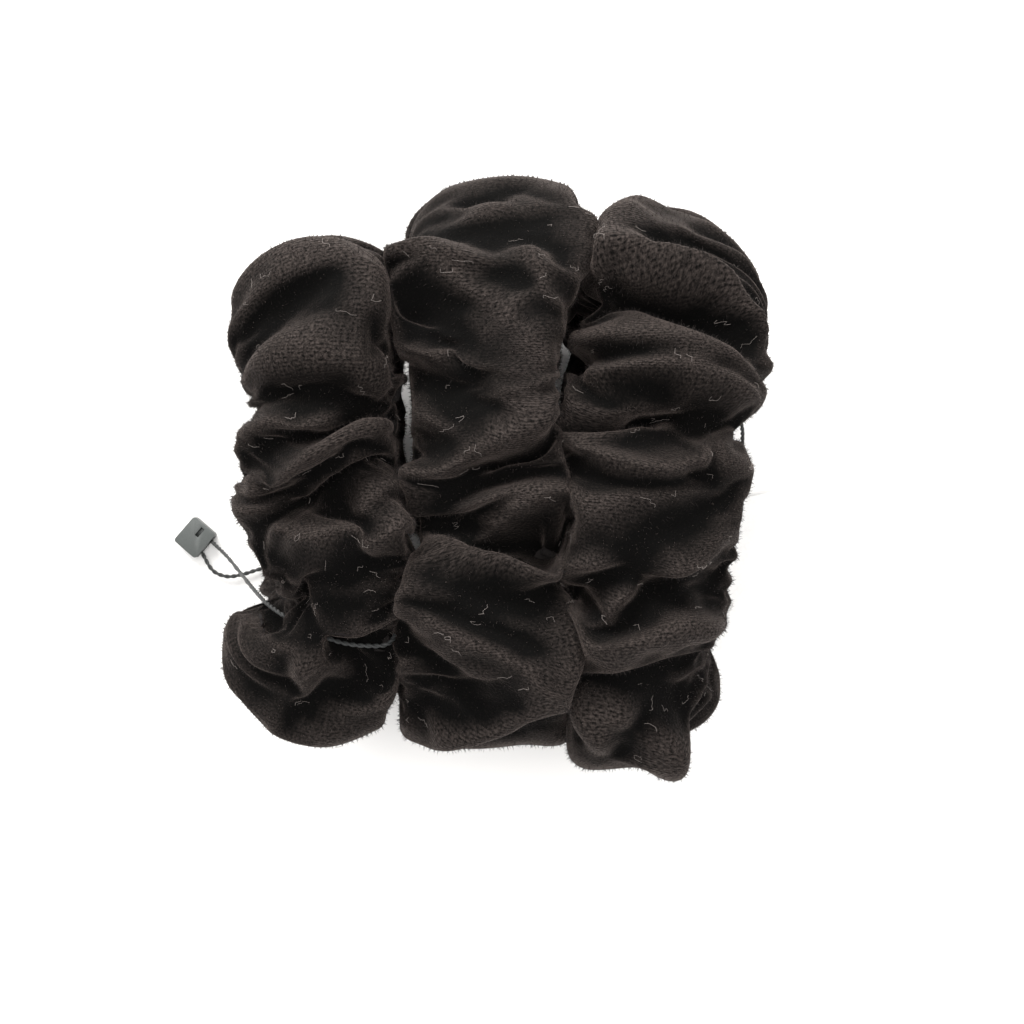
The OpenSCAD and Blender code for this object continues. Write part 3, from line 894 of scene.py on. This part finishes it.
def woven_rows():
    """Rows of the weave showing through a pile: a height and a shade, on the cloth's own strip. Where
    the mesh has the crest attribute, the shade also carries painted light, lighter on the cloth's
    crests and darker in its hollows, and it carries painted glints.
    """
    tree, inside, outside = new_group(
        "woven rows", [("Rows per metre", 1500.0), ("Waver", 0.6), ("Crest light and crush", 1.0), ("Painted crest light", 0.8)],
        [("Height", "NodeSocketFloat"), ("Shade", "NodeSocketFloat"), ("Tuft", "NodeSocketFloat")])
    n = Nodes(tree)
    strip = n.add("ShaderNodeUVMap", uv_map="cloth").outputs["UV"]
    split = n.add("ShaderNodeSeparateXYZ")
    n.link(strip, split.inputs[0])
    drift = n.noise(strip, 90.0, 2.0)
    along = n.maths("ADD", n.maths("MULTIPLY", split.outputs["X"], inside.outputs["Rows per metre"]),
                    n.maths("MULTIPLY", drift, inside.outputs["Waver"]))
    wave = n.maths("SINE", n.maths("MULTIPLY", along, 6.2832))
    row = n.maths("MULTIPLY", n.maths("ADD", wave, 1.0), 0.5)
    tuft = n.noise(strip, 1900.0, 3.0, 0.7)
    crush = n.noise(strip, 120.0, 4.0, 0.6)
    # Painted light and shade: the crest attribute lightens the colour on the cloth's crests and darkens
    # it in its hollows; the crush noise is the pile's own patchy tone.
    crest_painted_light = n.add("ShaderNodeAttribute", attribute_name="crest_painted_light").outputs["Fac"]
    stand = n.maths("ADD", n.maths("MULTIPLY", crest_painted_light, inside.outputs["Painted crest light"]),
                    n.maths("MULTIPLY", crush, 0.5))
    # This mask is part painted light (crests lighter, hollows darker) and part the pile's own crushed
    # patches; it scales the grain's colour and the rows' bump.
    crest_light_and_crush = n.ramp(n.maths("MULTIPLY", stand, inside.outputs["Crest light and crush"]), 0.42, 1.05)
    grainy = n.maths("ADD", n.maths("MULTIPLY", row, 0.2), n.ramp(tuft, 0.4, 0.68))
    # Painted glints: tiny bright specks added to the colour where fibre ends would catch the light.
    painted_glints = n.maths("MULTIPLY", n.ramp(n.noise(strip, 2600.0, 2.0, 0.8), 0.6, 0.78), 0.3)
    shade = n.maths("ADD", n.maths("MULTIPLY", grainy, crest_light_and_crush), painted_glints)
    height = n.maths("ADD", n.maths("MULTIPLY", n.maths("MULTIPLY", row, crest_light_and_crush), 0.25), tuft)
    n.link(height, outside.inputs["Height"])
    n.link(shade, outside.inputs["Shade"])
    n.link(tuft, outside.inputs["Tuft"])
    return tree


def fine_grain():
    """A fine grain in the piece's own space, for paper, plastic, yarn and thread."""
    tree, inside, outside = new_group(
        "fine grain", [("Size per metre", 2500.0), ("Contrast", 1.0)],
        [("Height", "NodeSocketFloat"), ("Shade", "NodeSocketFloat")])
    n = Nodes(tree)
    place = n.add("ShaderNodeTexCoord").outputs["Object"]
    node = tree.nodes.new("ShaderNodeTexNoise")
    node.inputs["Detail"].default_value = 4.0
    n.link(place, node.inputs["Vector"])
    n.link(inside.outputs["Size per metre"], node.inputs["Scale"])
    grain = node.outputs["Fac"]
    cloud = n.noise(place, 180.0, 2.0)
    shade = n.maths("MULTIPLY", n.ramp(n.maths("ADD", n.maths("MULTIPLY", grain, 0.6),
                                               n.maths("MULTIPLY", cloud, 0.4)), 0.3, 0.7),
                    inside.outputs["Contrast"])
    n.link(grain, outside.inputs["Height"])
    n.link(shade, outside.inputs["Shade"])
    return tree


def finish(name, low, high, rough, bump, bump_depth, group, settings=(), sheen=None, specular=0.5):
    """A material whose colour runs from low to high and roughness between two values by a group."""
    material = bpy.data.materials.new(name)
    material.use_nodes = True
    n = Nodes(material.node_tree)
    shader = material.node_tree.nodes["Principled BSDF"]
    pattern = n.add("ShaderNodeGroup", node_tree=group)
    for label, value in settings:
        pattern.inputs[label].default_value = value
    n.link(n.blend_colours(pattern.outputs["Shade"], low, high), shader.inputs["Base Color"])
    coarse = n.tree.nodes.new("ShaderNodeMapRange")
    coarse.inputs["To Min"].default_value, coarse.inputs["To Max"].default_value = rough
    n.link(pattern.outputs["Shade"], coarse.inputs["Value"])
    n.link(coarse.outputs["Result"], shader.inputs["Roughness"])
    relief = n.tree.nodes.new("ShaderNodeBump")
    relief.inputs["Strength"].default_value = bump
    relief.inputs["Distance"].default_value = bump_depth * MM
    n.link(pattern.outputs["Height"], relief.inputs["Height"])
    n.link(relief.outputs["Normal"], shader.inputs["Normal"])
    shader.inputs["Specular IOR Level"].default_value = specular
    if sheen:
        weight, roughness, tint = sheen
        shader.inputs["Sheen Weight"].default_value = weight
        shader.inputs["Sheen Roughness"].default_value = roughness
        shader.inputs["Sheen Tint"].default_value = (*tint, 1)
    return material


def finishes():
    rows, grain = woven_rows(), fine_grain()
    warm = (0.62, 0.50, 0.45)
    return {
        # The velvet runs from its low colour, painted shade in the hollows, to its high colour, painted
        # light on the crests, mixed with the pile's own patchy tone and painted glints.
        "velvet": finish("crushed velvet", (0.0010, 0.0009, 0.0008), (0.044, 0.035, 0.0315),
                         (0.95, 0.7), 0.7, 0.4, rows, sheen=(0.22, 0.26, warm), specular=0.1),
        "band": finish("folded velvet", (0.003, 0.0024, 0.0022), (0.026, 0.021, 0.019), (0.95, 0.75),
                       0.4, 0.3, grain, sheen=(0.3, 0.35, warm), specular=0.12),
        "back": finish("knitted back", (0.010, 0.008, 0.008), (0.022, 0.018, 0.017), (0.9, 0.8),
                       0.4, 0.2, rows, (("Rows per metre", 900.0),), specular=0.15),
        "pile": finish("pile fibre", (0.004, 0.0032, 0.003), (0.02, 0.016, 0.015), (0.8, 0.6),
                       0.1, 0.05, grain, sheen=(0.4, 0.3, warm), specular=0.2),
        "seam": finish("seam allowance", (0.008, 0.007, 0.007), (0.02, 0.017, 0.016), (0.95, 0.85),
                       0.5, 0.2, grain, specular=0.15),
        "elastic": finish("braided elastic", (0.008, 0.008, 0.009), (0.03, 0.03, 0.032), (0.8, 0.6),
                          0.8, 0.25, rows, (("Rows per metre", 1600.0), ("Waver", 0.1)), specular=0.3),
        "lap": finish("lapped elastic", (0.008, 0.008, 0.009), (0.03, 0.03, 0.032), (0.8, 0.6),
                      0.7, 0.25, grain, (("Size per metre", 1800.0),), specular=0.3),
        "thread": finish("sewing thread", (0.006, 0.005, 0.005), (0.03, 0.026, 0.025), (0.6, 0.45),
                         0.4, 0.08, grain, (("Size per metre", 6000.0),), specular=0.35),
        "cord": finish("waxed cord", (0.010, 0.011, 0.011), (0.045, 0.047, 0.047), (0.62, 0.42),
                       0.6, 0.12, grain, (("Size per metre", 5200.0),), specular=0.4),
        "lint": finish("lint", (0.16, 0.14, 0.13), (0.36, 0.32, 0.30), (0.8, 0.7),
                       0.1, 0.05, grain, specular=0.2),
        "card": finish("white card", (0.86, 0.855, 0.845), (0.93, 0.925, 0.915), (0.75, 0.6),
                       0.15, 0.03, grain, (("Size per metre", 1400.0),), specular=0.3),
        "seal": finish("moulded grey plastic", (0.062, 0.069, 0.067), (0.088, 0.096, 0.093),
                       (0.5, 0.38), 0.25, 0.04, grain, (("Size per metre", 3600.0),), specular=0.45),
        "plug": finish("moulded plug plastic", (0.040, 0.045, 0.044), (0.06, 0.066, 0.064), (0.5, 0.4),
                       0.25, 0.04, grain, (("Size per metre", 3600.0),), specular=0.45),
    }


def finish_node(node, material):
    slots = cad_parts[node].data.materials
    slots.clear()
    slots.append(material)


# ---------------------------------------------------------------- putting it together

camera()
look = finishes()
for side in ("left", "right"):
    seal_pieces = moulded_seal(side, look["seal"], look["plug"])
    twisted_cord(side, look["cord"])
    finish_node(f"{side}_tag_card", look["card"])
paper_floor()
studio_light()

middles = {side: section_middles(side) for side in SIDES}
shapes = {side: pressed_by_cord(side, gathered_sleeve(side), middles[side], 16.0) for side in SIDES}
shapes = drape(shapes)

for side in SIDES:
    grid = shapes[side]
    line = middles[side]
    for _ in range(REFINE):
        grid = refine(grid)
    line = np.repeat(line, 2 ** REFINE, axis=0)
    grid = pressed_by_cord(side, grid, line, 9.0)
    grid[..., 2] = np.maximum(grid[..., 2], FLOOR[side] + 0.5)
    normals = cloth_normals(grid)
    elastic_band(side, look["elastic"])
    sewn_lap(side, look["lap"], look["thread"])
    velvet_sleeve(side, grid, normals, look["velvet"], look["back"])
    seam_allowance(side, grid, normals, look["seam"])
    closing_fold(side, grid, normals, look["band"], look["thread"])
    pile(side, grid, normals, look["pile"], PILE_TUFTS)
    lint(side, grid, normals, look["lint"], LINT_FIBRES)
